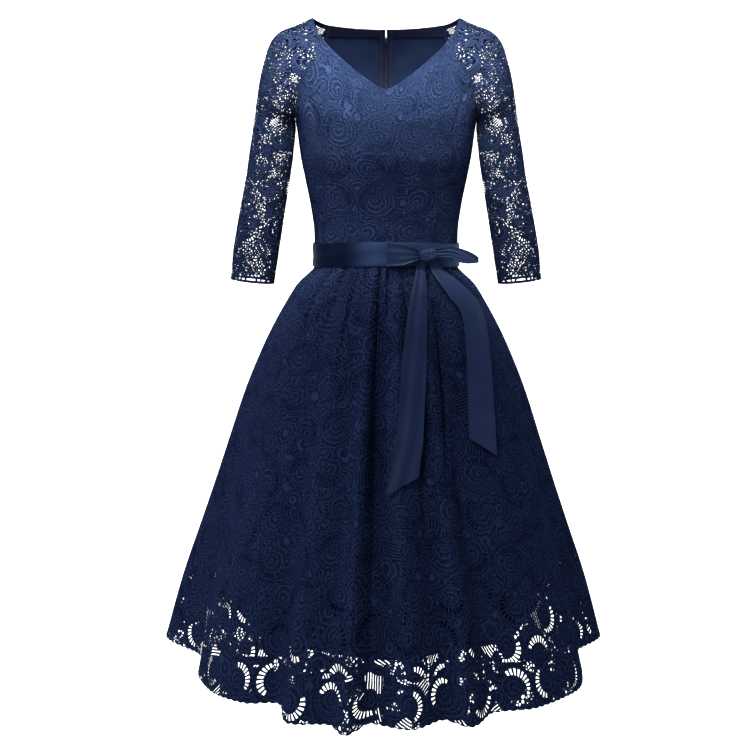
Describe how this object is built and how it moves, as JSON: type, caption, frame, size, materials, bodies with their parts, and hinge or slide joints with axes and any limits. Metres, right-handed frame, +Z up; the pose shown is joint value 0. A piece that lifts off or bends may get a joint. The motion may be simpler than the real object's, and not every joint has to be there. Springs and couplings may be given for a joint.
{
  "type": "lace bridesmaid dress",
  "caption": "Knee-length lace dress with a V neck, raglan sleeves to below the elbow, a satin ribbon belt tied in a bow, a flared skirt over a shorter lining, and a zip at the back.",
  "frame": {"origin": "midway between the two neck points, where the wearer's shoulders carry the dress", "axes": "+Z up, the front towards -Y, the wearer's left towards +X"},
  "size_m": [0.728, 0.7497, 1.0174],
  "materials": {
    "lace": "matt corded scroll lace, navy",
    "lining": "plain smooth woven lining, navy",
    "satin": "polyester satin ribbon with a soft sheen, navy",
    "zip_tape": "woven zip tape, navy",
    "zip_metal": "navy enamel"
  },
  "bodies": {
    "dress": {"bodice_front": "lace", "bodice_back_left": "lace", "bodice_back_right": "lace", "sleeve_left_front": "lace", "sleeve_left_back": "lace", "sleeve_right_front": "lace", "sleeve_right_back": "lace", "skirt_front": "lace", "skirt_back_left": "lace", "skirt_back_right": "lace", "bodice_lining_front": "lining", "bodice_lining_back_left": "lining", "bodice_lining_back_right": "lining", "skirt_lining_front": "lining", "skirt_lining_back_left": "lining", "skirt_lining_back_right": "lining", "belt": "satin", "bow_loop_left": "satin", "bow_loop_right": "satin", "bow_knot": "satin", "bow_tail_left": "satin", "bow_tail_right": "satin", "zip_tape_left": "zip_tape", "zip_tape_right": "zip_tape", "zip_coil": "zip_tape", "zip_slider": "zip_metal"},
    "zip_pull": {"zip_pull": "zip_metal"}
  },
  "joints": [
    {"name": "zip_pull_swing", "type": "hinge", "parent": "dress", "child": "zip_pull", "pos_m": [0, 0.08068, -0.02604], "axis": [1, 0, 0], "range_deg": [0, 150]}
  ]
}
